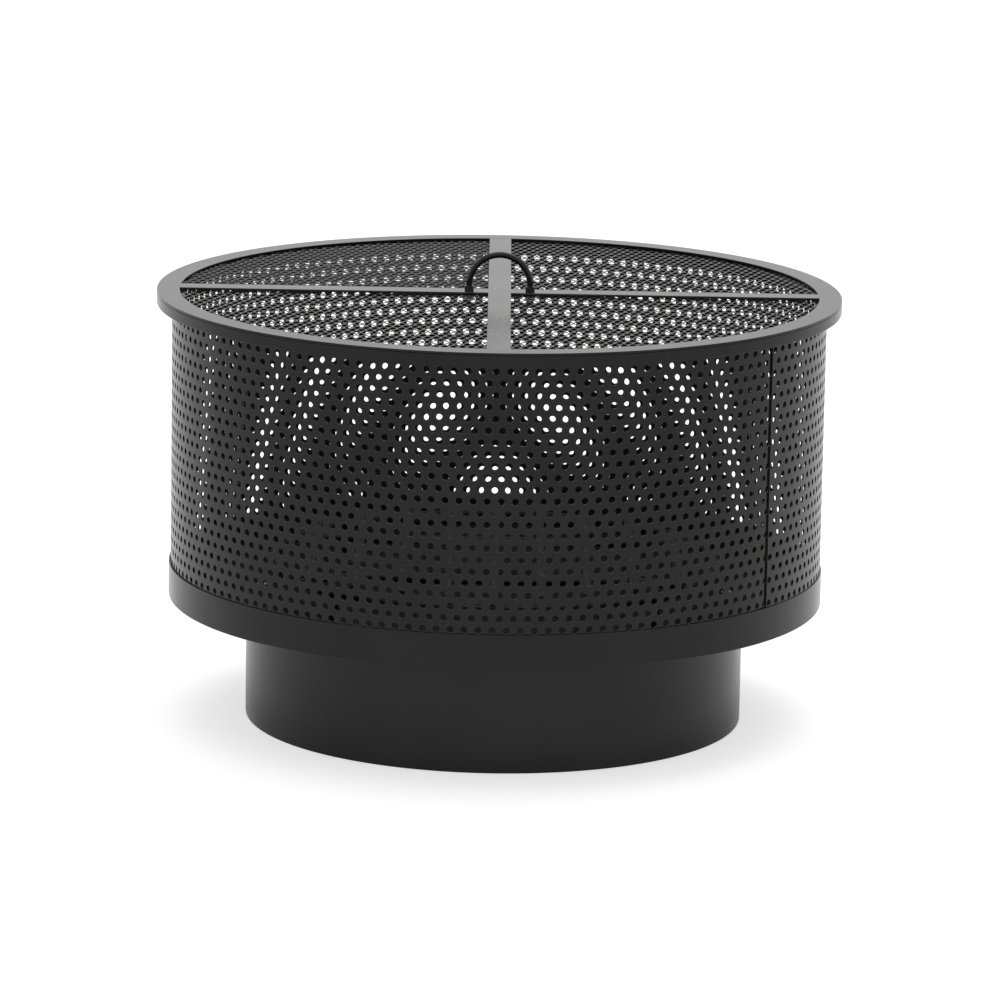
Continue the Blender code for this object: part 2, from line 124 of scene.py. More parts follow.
def black_paint(name, dark, pale, dullness, density=1.34):
    """Stove paint: sprayed orange peel, a faint mottle, dulled patches, and wear along the edges."""
    paint = Finish(name)
    place = paint.node("TexCoord", output="Object")
    mottle = paint.noise(place, 14.0, 4.0)
    peel = paint.noise(place, 520.0)
    grain = paint.noise(place, 2600.0, 1.0)
    edges = paint.node("NewGeometry", output="Pointiness")
    rubbed = paint.ramp(edges + (peel - 0.5) * 0.05, 0.53, 0.62)
    film = paint.blend(paint.ramp(mottle, 0.35, 0.7), dark, pale)
    paint.coat(Base_Color=paint.blend(rubbed, film, (0.030, 0.029, 0.028, 1.0)),
               Roughness=dullness + (mottle - 0.5) * 0.10 + (grain - 0.5) * 0.06,
               IOR=density)
    paint.relief(peel * 0.7 + grain * 0.3, 0.00006)
    return paint.material


satin_black = black_paint("satin_black_stove_paint", (0.0050, 0.0050, 0.0052, 1.0),
                          (0.0085, 0.0083, 0.0082, 1.0), 0.18)
# The plinth and its seam weld take a paler black than the rest of the paint.
pale_plinth_black = black_paint("paler_plinth_stove_paint", (0.0140, 0.0140, 0.0140, 1.0),
                          (0.0185, 0.0182, 0.0178, 1.0), 0.20)


def eased(corners, cuts=4):
    """The outline of a section, each corner (radius, height, rounding) rounded by its own amount."""
    outline = []
    for index, (radius, height, rounding) in enumerate(corners):
        here = Vector((radius, height))
        if not rounding:
            outline.append(here)
            continue
        before = Vector(corners[index - 1][:2])
        after = Vector(corners[(index + 1) % len(corners)][:2])
        start = here + (before - here).normalized() * rounding
        end = here + (after - here).normalized() * rounding
        for step in range(cuts + 1):
            share = step / cuts
            outline.append(start.lerp(here, share).lerp(here.lerp(end, share), share))
    return outline


def shaded_mesh(bm, name, sharp=38.0):
    bmesh.ops.recalc_face_normals(bm, faces=bm.faces)
    mesh = bpy.data.meshes.new(name)
    bm.to_mesh(mesh)
    bm.free()
    mesh.shade_smooth()
    mesh.set_sharp_from_angle(angle=radians(sharp))
    return mesh


def spun(name, outline, steps=288):
    """A closed section turned about the drum's axis."""
    bm = bmesh.new()
    rings = []
    for step in range(steps):
        turn = tau * step / steps
        rings.append([bm.verts.new((point.x * sin(turn), -point.x * cos(turn), point.y))
                      for point in outline])
    for ring, following in zip(rings, rings[1:] + rings[:1]):
        for index in range(len(outline)):
            if max(outline[index - 1].x, outline[index].x) > 1e-6:
                bm.faces.new((ring[index - 1], ring[index], following[index], following[index - 1]))
    bmesh.ops.remove_doubles(bm, verts=bm.verts, dist=1e-6)
    return shaded_mesh(bm, name)


def set_in_place(name, mesh, finish, body, nodes=(), even_shading=True):
    """Puts a finished piece in the scene, on its body, in the place of its CAD nodes."""
    piece = bpy.data.objects.new(name, mesh)
    bpy.context.scene.collection.objects.link(piece)
    if not mesh.materials:
        mesh.materials.append(finish)
    if even_shading:
        piece.modifiers.new("even_shading", "WEIGHTED_NORMAL").keep_sharp = True
    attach(piece, body)
    if nodes:
        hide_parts(*nodes)
    return piece


plinth_radius = 0.2195
plinth_height = 0.1075
plinth_sheet = 0.0015
plinth_hem = plinth_radius - 0.010
plinth_flange = 0.1940
plinth_bore = plinth_radius - plinth_sheet
flange_under = plinth_height - plinth_sheet
cut_edge = 0.0003
plinth_section = eased([
    (plinth_flange, plinth_height, cut_edge), (plinth_radius, plinth_height, 0.0020),
    (plinth_radius, 0.0, 0.0018), (plinth_hem, 0.0, cut_edge), (plinth_hem, plinth_sheet, cut_edge),
    (plinth_bore, plinth_sheet, 0.0006), (plinth_bore, flange_under, 0.0008),
    (plinth_flange, flange_under, cut_edge)])
set_in_place("plinth_shell", spun("plinth_shell", plinth_section), pale_plinth_black, "fire_drum",
             ["base_ring"])


# The plinth's seam: a hand-run weld bead down the back, where the rolled strip's ends meet.
# Its ripples are about a millimetre apart, and the paint runs straight over them.

def tube(bm, points, radii, sides=12):
    """A swept round section, with its own radius at each point and both ends closed."""
    points = [Vector(point) for point in points]
    along = [(after - before).normalized()
             for before, after in zip(points[:1] + points[:-1], points[1:] + points[-1:])]
    turns = [tau * side / sides for side in range(sides)]
    across = along[0].orthogonal().normalized()
    rings = []
    for point, ahead, radius in zip(points, along, radii):
        across = (across - ahead * across.dot(ahead)).normalized()
        up = ahead.cross(across)
        rings.append([bm.verts.new(point + (across * cos(turn) + up * sin(turn)) * radius)
                      for turn in turns])
    for ring, following in zip(rings, rings[1:]):
        for k in range(sides):
            bm.faces.new((ring[k - 1], ring[k], following[k], following[k - 1]))
    bm.faces.new(rings[0][::-1])
    bm.faces.new(rings[-1])


def weld_bead(bm, start, end, width, ripple=0.0011):
    """A bead of weld from start to end: overlapping drops of uneven size."""
    start = Vector(start)
    end = Vector(end)
    steps = max(8, round((end - start).length / ripple * 4))
    shares = [step / steps for step in range(steps + 1)]
    radii = []
    for share in shares:
        travel = share * (end - start).length
        swell = 1 + 0.10 * sin(tau * travel / ripple) + 0.08 * sin(travel * 911.0 + start.x * 97.0)
        taper = min(1.0, 0.25 + 5 * share, 0.25 + 5 * (1 - share))
        radii.append(width / 2 * swell * taper)
    tube(bm, [start.lerp(end, share) for share in shares], radii, 10)


seam_weld = bmesh.new()
weld_line = plinth_radius - 0.0009
weld_bead(seam_weld, (0.0, weld_line, 0.003), (0.0, weld_line, 0.1052), 0.0030)
set_in_place("plinth_seam_weld", shaded_mesh(seam_weld, "plinth_seam_weld"), pale_plinth_black, "fire_drum",
             even_shading=False)


# Bolts between pan and plinth: four M6 hexagon bolts with plain washers and nuts below the flange.
# Zinc-plated steel, the heads chamfered as they are forged, the threads rolled.

def zinc_plate():
    """Clear-passivated zinc: a cool, slightly cloudy metal."""
    plate = Finish("zinc_plate")
    place = plate.node("TexCoord", output="Object")
    cloud = plate.noise(place, 260.0, 3.0)
    scuff = plate.noise(place, 1900.0, 2.0)
    plate.coat(Base_Color=plate.blend(cloud, (0.40, 0.41, 0.43, 1.0), (0.56, 0.55, 0.52, 1.0)),
               Metallic=1.0, Roughness=0.27 + cloud * 0.16 + (scuff - 0.5) * 0.1)
    plate.relief(scuff, 0.00003)
    return plate.material


zinc = zinc_plate()


def hexagon(bm, flats, bottom, top, chamfered_ends, centre=(0.0, 0.0), turn=0.0, bore=0.0):
    """A hexagonal head or nut; a cone chamfers its corners at the ends that are named."""
    turns = tau * np.arange(72) / 72
    reach = flats / 2 / np.cos((turns + pi / 6) % (pi / 3) - pi / 6)
    cone = np.full(72, flats / 2 * 0.96)
    drop = (reach - cone) * 0.577
    low = np.full(72, bottom)
    high = np.full(72, top)
    levels = [(reach, low), (reach, high)]
    if "bottom" in chamfered_ends:
        levels[:1] = [(cone, low), (reach, low + drop)]
    if "top" in chamfered_ends:
        levels[-1:] = [(reach, high - drop), (cone, high)]
    if bore:
        inside = np.full(72, bore)
        levels = [(inside, low), *levels, (inside, high)]
    rings = []
    for radii, heights in levels:
        across = centre[0] + radii * np.cos(turns + turn)
        deep = centre[1] + radii * np.sin(turns + turn)
        rings.append([bm.verts.new(point) for point in zip(across, deep, heights)])
    if bore:
        rings.append(rings[0])
    else:
        bm.faces.new(rings[0][::-1])
        bm.faces.new(rings[-1])
    for ring, following in zip(rings, rings[1:]):
        for step in range(72):
            bm.faces.new((ring[step - 1], ring[step], following[step], following[step - 1]))


def threaded_rod(bm, centre, radius, bottom, top, pitch, cut):
    """A threaded stud with a chamfered end; its crests and roots alternate along it."""
    steps = round((top - bottom) / pitch * 4)
    points = []
    radii = []
    for step in range(steps + 1):
        height = bottom + (top - bottom) * step / steps
        wave = (0.0, 0.5, 1.0, 0.5)[step % 4]
        end = min(1.0, 0.72 + (height - bottom) / pitch * 0.28)
        points.append((centre[0], centre[1], height))
        radii.append((radius - cut * wave) * end)
    tube(bm, points, radii, 20)


bolt_circle = 0.2060
bolt_centres = [(bolt_circle, 0.0), (0.0, bolt_circle), (-bolt_circle, 0.0), (0.0, -bolt_circle)]
bolt_radius = 0.0030
bolt_flats = 0.010
head_seat = 0.1096
seat_gap = 0.0003
washer_thick = 0.0012
washer_top = flange_under - seat_gap
nut_top = washer_top - washer_thick - seat_gap
nut_foot = nut_top - 0.0050
bolt_end = nut_foot - 0.0015
for number, centre in enumerate(bolt_centres, 1):
    bolt = bmesh.new()
    hexagon(bolt, bolt_flats, head_seat, head_seat + 0.0040, ("top",), centre)
    threaded_rod(bolt, centre, bolt_radius, bolt_end, head_seat + 0.0002, 0.0010, 0.0004)
    set_in_place(f"pan_bolt_{number}", shaded_mesh(bolt, "pan_bolt"), zinc, "fire_drum",
                 [f"base_bolt_{number}"], even_shading=False)
    nut = bmesh.new()
    hexagon(nut, bolt_flats, nut_foot, nut_top, ("bottom", "top"), centre, pi / 6, 0.0031)
    set_in_place(f"pan_nut_{number}", shaded_mesh(nut, "pan_nut"), zinc, "fire_drum",
                 [f"base_nut_{number}"], even_shading=False)


def washer(bm, centre, outer, bore, bottom, top, steps=48):
    """A stamped washer, its outer edges broken."""
    ease = 0.0002
    section = [(bore, bottom), (outer - ease, bottom), (outer, bottom + ease),
               (outer, top - ease), (outer - ease, top), (bore, top)]
    rings = []
    for step in range(steps):
        turn = tau * step / steps
        x = cos(turn)
        y = sin(turn)
        rings.append([bm.verts.new((centre[0] + radius * x, centre[1] + radius * y, height))
                      for radius, height in section])
    for ring, following in zip(rings, rings[1:] + rings[:1]):
        for index in range(len(section)):
            bm.faces.new((ring[index - 1], ring[index], following[index], following[index - 1]))


for number, centre in enumerate(bolt_centres, 1):
    plain = bmesh.new()
    washer(plain, centre, 0.00825, 0.0033, washer_top - washer_thick, washer_top)
    set_in_place(f"pan_washer_{number}", shaded_mesh(plain, "pan_washer"), zinc, "fire_drum",
                 [f"base_washer_{number}"], even_shading=False)


# Fire pan: a shallow dish pressed from 1.5 mm sheet. Its 30 mm upstand is the plain band round
# the drum's foot, and six drain holes let rain and ash through its floor.

pan_radius = 0.2884
pan_sheet = 0.0015
pan_base = 0.1078
pan_top = 0.1378
pan_bend = 0.0016
pan_section = eased([
    (0.0, pan_base, 0.0), (pan_radius, pan_base, pan_bend), (pan_radius, pan_top, 0.0004),
    (pan_radius - pan_sheet, pan_top, 0.0004),
    (pan_radius - pan_sheet, pan_base + pan_sheet, pan_bend - 0.0010), (0.0, pan_base + pan_sheet, 0.0)], 6)
pan = set_in_place("fire_pan_shell", spun("fire_pan_shell", pan_section), satin_black, "fire_drum",
                   ["fire_pan"])
drains = bmesh.new()
drain_circle = 0.085
drain_radius = 0.004
for hole in range(6):
    turn = tau * (hole + 0.5) / 6
    spot = Matrix.Translation((drain_circle * cos(turn), drain_circle * sin(turn), pan_base))
    bmesh.ops.create_cone(drains, cap_ends=True, segments=32, radius1=drain_radius, radius2=drain_radius,
                          depth=0.010, matrix=spot)
punch = bpy.data.objects.new("drain_punch", shaded_mesh(drains, "drain_punch"))
bpy.context.scene.collection.objects.link(punch)
punching = pan.modifiers.new("drains", "BOOLEAN")
punching.operation = "DIFFERENCE"
punching.object = punch
pan.modifiers.move(1, 0)
bpy.context.view_layer.update()
punched = bpy.data.meshes.new_from_object(pan.evaluated_get(bpy.context.evaluated_depsgraph_get()))
pan.modifiers.clear()
pan.data = punched
bpy.data.objects.remove(punch)
# The inside paint is matt. Its black is paler than outside: painted light that brightens the shaded inside
# of the drum and pan.
matt_inside_painted_light = black_paint("matt_stove_paint_painted_light", (0.016, 0.016, 0.0155, 1.0),
                         (0.028, 0.027, 0.026, 1.0), 0.80, 1.15)


def dull_and_lighten_inside(mesh, below):
    """The faces that look inwards, or up from below a height, have had their gloss burnt off; their paler
    black is painted light that brightens the dark inside.
    """
    mesh.materials.append(matt_inside_painted_light)
    for face in mesh.polygons:
        inwards = -face.normal.xy.dot(face.center.xy.normalized())
        if inwards > 0.5 or (face.normal.z > 0.5 and face.center.z < below):
            face.material_index = 1


dull_and_lighten_inside(punched, pan_top - 0.001)


# Perforated wall: 1.2 mm sheet with 23 staggered rows of 6 mm holes, rolled to a cylinder inside
# the pan's upstand. Its ends just lap to the right of the front, and are tacked together inside.
# It is made here as four panels of one strip, because a mesh of the whole would be unwieldy.

wall_radius = 0.2866
wall_sheet = 0.0012
wall_foot = 0.11122
wall_top = 0.37672
hole_radius = 0.0030
hole_pitch = 0.011812
row_step = 0.01003
first_row = 0.3618
row_count = 23
seam_turn = radians(54.6)
lap_step = 0.00125
seam_edge = hole_radius + 0.0005
stray_turns = np.radians([54.6, 62.0, 104.0, 117.0, 124.0, 136.0, 420.0])
strays = [0.0003, 0.0006, 0.0005, -0.0006, -0.0006, 0.0, 0.0]


def wall_columns():
    """Distances along the strip: its ends, its cells' edges and the middles of its cells."""
    front_phase = 0.8829 * hole_pitch
    start = (front_phase - wall_radius * seam_turn + tau * wall_radius) % hole_pitch
    cells = int((tau * wall_radius - start) / hole_pitch) + 1
    columns = start + (np.arange(2 * cells + 1) - 1) * hole_pitch / 2
    columns[0] = start - seam_edge
    columns[-1] = columns[-2] + seam_edge
    return columns, cells


def rolled(along, height, depth):
    """A point of the flat strip after rolling, slightly out of round near its start; the far end
    is joggled in behind the near end."""
    turn = seam_turn + along / wall_radius
    tuck = np.clip((along - tau * wall_radius + 0.0150) / 0.0140, 0.0, 1.0)
    joggle = lap_step * tuck * tuck * (3 - 2 * tuck)
    radius = wall_radius - depth - joggle + np.interp(turn, stray_turns, strays)
    return np.stack([radius * np.sin(turn), -radius * np.cos(turn), height], -1)


strip_columns, strip_cells = wall_columns()
strip_lines = [wall_top, *(first_row - (row - 0.5) * row_step for row in range(row_count + 1)), wall_foot]
hole_sides = 12
hole_turns = tau * np.arange(hole_sides) / hole_sides
upwards = np.array([0.0, 0.0, 1.0])


class WallPanel:
    """A run of the strip's cells: a grid of points, and a hole in the middle of each cell."""

    def __init__(self, first_cell, last_cell):
        self.low = 2 * first_cell
        self.high = 2 * last_cell
        along, height = np.meshgrid(strip_columns[self.low:self.high + 2], strip_lines)
        self.width = along.shape[1]
        self.along = [along.ravel()]
        self.height = [height.ravel()]
        self.facing = [np.zeros(along.size)]
        self.faces = []
        self.holes = []

    def grid(self, line, column):
        return line * self.width + column - self.low

    def patch(self, line, column):
        """The plain face between two lines and two columns of the grid."""
        self.faces.append([self.grid(line + 1, column), self.grid(line + 1, column + 1),
                           self.grid(line, column + 1), self.grid(line, column)])

    def pierce(self, row, column, first_point):
        """A hole, and the six faces between it and the corners of its cell."""
        self.along.append(strip_columns[column + 1] + hole_radius * np.cos(hole_turns))
        self.height.append(first_row - row * row_step + hole_radius * np.sin(hole_turns))
        self.facing.append(hole_turns)
        upper = [self.grid(row + 1, column + step) for step in (2, 1, 0)]
        lower = [self.grid(row + 2, column + step) for step in (0, 1, 2)]
        corners = upper + lower
        for corner in range(6):
            rim = [first_point + (2 * corner + step) % hole_sides for step in (3, 2, 1)]
            self.faces.append([corners[corner], corners[(corner + 1) % 6], *rim])
        self.holes.append([first_point + side for side in range(hole_sides)])

    def fill_rows(self):
        """Every second row is half a cell along, with a plain half cell at each end of the strip."""
        next_point = self.along[0].size
        for row in range(row_count):
            shift = row % 2
            for column in range(self.low + shift, min(self.high + shift, 2 * strip_cells) - 1, 2):
                self.pierce(row, column, next_point)
                next_point += hole_sides
            if shift and self.low == 0:
                self.patch(row + 1, 0)
            if shift and self.high == 2 * strip_cells:
                self.patch(row + 1, self.high - 1)

    def fill_margins(self):
        for line in (0, row_count + 1):
            for column in range(self.low, self.high):
                self.patch(line, column)

    def outer_edges(self):
        """Pairs of neighbouring points along the cut edges, with the way that each edge faces."""
        foot = row_count + 2
        edges = []
        for column in range(self.low, self.high):
            edges.append((self.grid(0, column), self.grid(0, column + 1), "up"))
            edges.append((self.grid(foot, column + 1), self.grid(foot, column), "down"))
        for line in range(foot):
            if self.low == 0:
                edges.append((self.grid(line + 1, 0), self.grid(line, 0), "back"))
            if self.high == 2 * strip_cells:
                edges.append((self.grid(line, self.high), self.grid(line + 1, self.high), "on"))
        return edges

    def mesh(self):
        """Rolls the flat faces, and gives them an inside, hole walls and edges."""
        along = np.concatenate(self.along)
        height = np.concatenate(self.height)
        facing = np.concatenate(self.facing)[:, None]
        turn = seam_turn + along / wall_radius
        level = np.zeros_like(turn)
        outwards = np.stack([np.sin(turn), -np.cos(turn), level], -1)
        onwards = np.stack([np.cos(turn), np.sin(turn), level], -1)
        into_hole = -(onwards * np.cos(facing) + upwards * np.sin(facing))
        count = len(along)
        straight_up = np.tile(upwards, (count, 1))
        ways = {"up": straight_up, "down": -straight_up, "back": -onwards, "on": onwards}
        polygons = list(self.faces)
        normals = [outwards[face] for face in self.faces]
        for face in self.faces:
            polygons.append([point + count for point in face[::-1]])
            normals.append(-outwards[face[::-1]])
        rims = [(first, second, into_hole) for hole in self.holes
                for first, second in zip(hole, hole[1:] + hole[:1])]
        rims += [(first, second, ways[way]) for first, second, way in self.outer_edges()]
        for first, second, normal in rims:
            polygons.append([first, second, second + count, first + count])
            normals.append(normal[[first, second, second, first]])
        points = np.concatenate([rolled(along, height, 0.0), rolled(along, height, wall_sheet)])
        mesh = bpy.data.meshes.new("wall_panel")
        mesh.from_pydata(points.tolist(), [], polygons)
        mesh.shade_smooth()
        mesh.normals_split_custom_set(np.concatenate(normals).tolist())
        return mesh


for number in range(4):
    panel = WallPanel(strip_cells * number // 4, strip_cells * (number + 1) // 4)
    panel.fill_rows()
    panel.fill_margins()
    panel_mesh = panel.mesh()
    set_in_place(f"wall_panel_{number + 1}", panel_mesh, satin_black, "fire_drum",
                 ["perforated_wall"], even_shading=False)
    dull_and_lighten_inside(panel_mesh, 0.0)
wall_tacks = bmesh.new()
tack_reach = wall_radius - wall_sheet - lap_step / 2
tack_x = tack_reach * sin(seam_turn)
tack_y = -tack_reach * cos(seam_turn)
for tack in range(6):
    height = 0.130 + 0.045 * tack
    weld_bead(wall_tacks, (tack_x, tack_y, height), (tack_x, tack_y, height + 0.008), 0.0024)
set_in_place("wall_tack_welds", shaded_mesh(wall_tacks, "wall_tack_welds"), matt_inside_painted_light, "fire_drum",
             even_shading=False)


# Rim: an angle ring, 2 mm thick, round the drum's mouth. Its flange carries the lid and its
# 9 mm skirt hides the sheet's cut edge; it is tacked to the wall from below. Its ends are
# butt-welded to the right of the front.

rim_radius = 0.3000
rim_sheet = 0.0020
rim_top = 0.37772
rim_foot = 0.36872
rim_bore = wall_radius + 0.0003
rim_section = eased([
    (rim_bore, rim_top, 0.0003), (rim_radius, rim_top, 0.0003),
    (rim_radius, rim_foot, 0.0005), (rim_radius - rim_sheet, rim_foot, 0.0005),
    (rim_radius - rim_sheet, rim_top - rim_sheet, 0.0005), (rim_bore, rim_top - rim_sheet, 0.0003)])
set_in_place("rim_angle", spun("rim_angle", rim_section), satin_black, "fire_drum",
             ["rim_ring"])
rim_tacks = bmesh.new()


def round_the_axis(reach, turn, height):
    """A point at a distance from the drum's axis, turned from the front towards the right."""
    return (reach * sin(turn), -reach * cos(turn), height)


rim_tack_reach = wall_radius + 0.0006
rim_tack_height = rim_top - rim_sheet - 0.0004
half_tack = 0.008 / rim_tack_reach
for tack in range(12):
    turn = tau * (tack + 0.35) / 12
    weld_bead(rim_tacks, round_the_axis(rim_tack_reach, turn - half_tack, rim_tack_height),
              round_the_axis(rim_tack_reach, turn + half_tack, rim_tack_height), 0.0026)
butt_turn = radians(28.0)
butt_reach = rim_radius - 0.0007
weld_bead(rim_tacks, round_the_axis(butt_reach, butt_turn, rim_foot + 0.0006),
          round_the_axis(butt_reach, butt_turn, rim_top - 0.0006), 0.0020)
set_in_place("rim_tack_welds", shaded_mesh(rim_tacks, "rim_tack_welds"), satin_black, "fire_drum",
             even_shading=False)


# Lid frame: 20 x 2 mm flat bar, one length rolled to a ring and three butted in as a cross.
# The joints are welded below and ground flush above.

lid_base = 0.37802
lid_top = 0.38002
bar_half = 0.0100
lid_bore = rim_radius - 2 * bar_half
lid_section = eased([
    (lid_bore, lid_top, 0.0004), (rim_radius, lid_top, 0.0005),
    (rim_radius, lid_base, 0.0003), (lid_bore, lid_base, 0.0003)])
set_in_place("lid_flat_ring", spun("lid_flat_ring", lid_section), satin_black, "spark_lid",
             ["lid_ring"])


def flat_bar(name, low, high, node):
    """A length of flat bar with eased long edges, let a hair into what it butts against."""
    bm = bmesh.new()
    size = Vector(high) - Vector(low)
    middle = (Vector(high) + Vector(low)) / 2
    block = Matrix.Translation(middle) @ Matrix.Diagonal((*size, 1.0))
    bmesh.ops.create_cube(bm, size=1.0, matrix=block)
    bmesh.ops.bevel(bm, geom=bm.edges[:], offset=0.0004, segments=3, profile=0.5, affect="EDGES")
    set_in_place(name, shaded_mesh(bm, name), satin_black, "spark_lid", [node])


bar_end = sqrt(lid_bore ** 2 - bar_half ** 2) + 0.0006
bar_top = lid_top - 0.00004
side_bar_from = bar_half - 0.0006
flat_bar("cross_bar_long", (-bar_half, -bar_end, lid_base), (bar_half, bar_end, bar_top), "long_cross_bar")
flat_bar("cross_bar_left", (-bar_end, -bar_half, lid_base), (-side_bar_from, bar_half, bar_top),
         "left_cross_bar")
flat_bar("cross_bar_right", (side_bar_from, -bar_half, lid_base), (bar_end, bar_half, bar_top),
         "right_cross_bar")
lid_welds = bmesh.new()
weld_half = 0.0085
for turn in range(4):
    spin = Matrix.Rotation(turn * pi / 2, 3, "Z")
    edge = bar_end - 0.0004
    weld_bead(lid_welds, spin @ Vector((edge, -weld_half, lid_base)),
              spin @ Vector((edge, weld_half, lid_base)), 0.0022)
for side in (-bar_half, bar_half):
    weld_bead(lid_welds, (side, -weld_half, lid_base), (side, weld_half, lid_base), 0.0022)
set_in_place("lid_frame_welds", shaded_mesh(lid_welds, "lid_frame_welds"), satin_black, "spark_lid",
             even_shading=False)


# Spark net: expanded steel mesh, long diamonds of 7.5 x 20 mm that run front to back. It is
# clamped between the flat bars and the hoop, and painted with them. It is made in quarters; the
# back left one was laid with its strands tilted a little more, so that it looks more closed.

net_paint = black_paint("net_stove_paint", (0.016, 0.016, 0.0165, 1.0),
                        (0.026, 0.026, 0.026, 1.0), 0.30)
net_middle = 0.37735
net_reach = 0.2825
diamond_half_wide = 0.00375
diamond_half_long = 0.0100
strand = 0.0009
bond_half_long = 0.0030
net_sheet = 0.0005


def opening_centres(side_x, side_y):
    """The middles of the diamonds of one quarter; those on the axes are the right and back ones'."""
    centres = []
    for row in range(int(net_reach / diamond_half_long) + 2):
        for column in range(row % 2, int(net_reach / diamond_half_wide) + 2, 2):
            x = column * diamond_half_wide
            y = row * diamond_half_long
            on_axis = (column == 0 and side_x < 0) or (row == 0 and side_y < 0)
            nearest = min((x - diamond_half_wide) ** 2 + y * y, x * x + (y - diamond_half_long) ** 2)
            if nearest < (net_reach - 0.0015) ** 2 and not on_axis:
                centres.append((side_x * x, side_y * y))
    return np.array(centres)


def trimmed(points):
    """The net is cut to a circle: points outside it come in to its edge."""
    reach = np.linalg.norm(points, axis=-1, keepdims=True)
    return points * np.minimum(1.0, net_reach / reach)


def mesh_faces(first):
    """The faces round one opening: the first point of its twenty is given."""
    top_diamond = first
    top_hole = first + 4
    under_diamond = first + 10
    under_hole = first + 14
    faces = []
    for k, (near, far) in enumerate(((1, 2), (2, 3), (4, 5), (5, 0))):
        after = (k + 1) % 4
        faces.append([top_diamond + k, top_diamond + after, top_hole + far, top_hole + near])
        faces.append([under_hole + near, under_hole + far, under_diamond + after, under_diamond + k])
    for k, near, far in ((0, 0, 1), (2, 3, 4)):
        faces.append([top_diamond + k, top_hole + far, top_hole + near])
        faces.append([under_hole + near, under_hole + far, under_diamond + k])
    for k in range(6):
        after = (k + 1) % 6
        faces.append([top_hole + k, top_hole + after, under_hole + after, under_hole + k])
    return faces


def net_quarter(side_x, side_y, twist):
    """Diamonds with hexagonal openings, as the strands meet in long bonds; twist tilts them."""
    centres = opening_centres(side_x, side_y)[:, None]
    side = diamond_half_wide - strand
    tip = diamond_half_long - bond_half_long
    diamond = np.array([(diamond_half_wide, 0.0), (0.0, diamond_half_long),
                        (-diamond_half_wide, 0.0), (0.0, -diamond_half_long)])
    opening = np.array([(side, -bond_half_long), (side, bond_half_long), (0.0, tip),
                        (-side, bond_half_long), (-side, -bond_half_long), (0.0, -tip)])
    outer = trimmed(centres + diamond)
    inner = trimmed(centres + opening)
    lift = twist * np.array([-0.3, 0.3, 1.0, 0.3, -0.3, -1.0])
    levels = []
    for face_height in (net_middle + net_sheet / 2, net_middle - net_sheet / 2):
        flat = np.full(outer.shape[:2], face_height)
        tilted = np.full(inner.shape[:2], face_height) + lift
        levels.append(np.concatenate([outer, flat[..., None]], -1))
        levels.append(np.concatenate([inner, tilted[..., None]], -1))
    points = np.concatenate(levels, 1).reshape(-1, 3)
    faces = [face for first in range(0, len(points), 20) for face in mesh_faces(first)]
    mesh = bpy.data.meshes.new("net_quarter")
    mesh.from_pydata(points.tolist(), [], faces)
    return mesh


quarters = ((1, -1, -0.00002), (1, 1, -0.00008), (-1, 1, -0.00050), (-1, -1, -0.00002))
for number, (side_x, side_y, twist) in enumerate(quarters, 1):
    set_in_place(f"net_quarter_{number}", net_quarter(side_x, side_y, twist), net_paint, "spark_lid",
                 ["spark_net"], even_shading=False)


# Hoop: 5 mm round wire bent to a ring and butt-welded, tacked under the net's edge. It holds the
# net up to the flat ring and drops inside the drum's mouth, so that the lid can't slide off.

def ring_of_wire(name, ring_radius, height, wire_radius):
    section = [Vector((ring_radius + wire_radius * cos(turn), height + wire_radius * sin(turn)))
               for turn in (-tau * step / 20 for step in range(20))]
    return spun(name, section, 216)


hoop_radius = 0.2804
hoop_height = 0.37412
hoop_wire = 0.0025
set_in_place("net_hoop_wire", ring_of_wire("net_hoop_wire", hoop_radius, hoop_height, hoop_wire),
             satin_black, "spark_lid", ["net_hoop"], even_shading=False)


# Handle: 5 mm wire, thickened by its paint, bent to a half loop and threaded at its ends, which
# pass through the side bars. A painted nut above the bar and a washer and nut below clamp each end.

handle_half = 0.0267
handle_wire = 0.0027
handle_foot = 0.37032
handle_spring = lid_top + 0.0052
bend_turns = [pi * step / 40 for step in range(41)]
loop = [(handle_half * cos(turn), 0.0, handle_spring + handle_half * sin(turn)) for turn in bend_turns]
legs_from = lid_top + 0.0020
handle = bmesh.new()
handle_path = [(handle_half, 0.0, legs_from), *loop, (-handle_half, 0.0, legs_from)]
tube(handle, handle_path, [handle_wire] * len(handle_path), 24)
for side in (-handle_half, handle_half):
    threaded_rod(handle, (side, 0.0), handle_wire, handle_foot, legs_from + 0.0004, 0.0008, 0.00035)
set_in_place("handle_loop", shaded_mesh(handle, "handle_loop"), satin_black, "spark_lid",
             ["lid_handle"], even_shading=False)
nut_flats = 0.0080
for number, side in enumerate((-handle_half, handle_half), 1):
    upper = bmesh.new()
    hexagon(upper, nut_flats, lid_top + 0.0001, lid_top + 0.0043, ("bottom", "top"), (side, 0.0),
            bore=handle_wire)
    set_in_place(f"handle_nut_above_{number}", shaded_mesh(upper, "handle_nut_above"), satin_black,
                 "spark_lid", [f"handle_top_nut_{number}"], even_shading=False)
    spread = bmesh.new()
    washer(spread, (side, 0.0), 0.0075, 0.0028, 0.37562, 0.37662)
    set_in_place(f"handle_washer_below_{number}", shaded_mesh(spread, "handle_washer_below"), zinc,
                 "spark_lid", [f"handle_washer_{number}"], even_shading=False)
    lower = bmesh.new()
    hexagon(lower, nut_flats, 0.37132, 0.37532, ("bottom", "top"), (side, 0.0), pi / 6, handle_wire)
    set_in_place(f"handle_nut_below_{number}", shaded_mesh(lower, "handle_nut_below"), zinc, "spark_lid",
                 [f"handle_lower_nut_{number}"], even_shading=False)


# Fuel grate: 8 mm round bar, a ring with nine bars laid across it, two ties and four feet, all
# welded. Matt black high-temperature paint, which has a drier, slightly brown look.

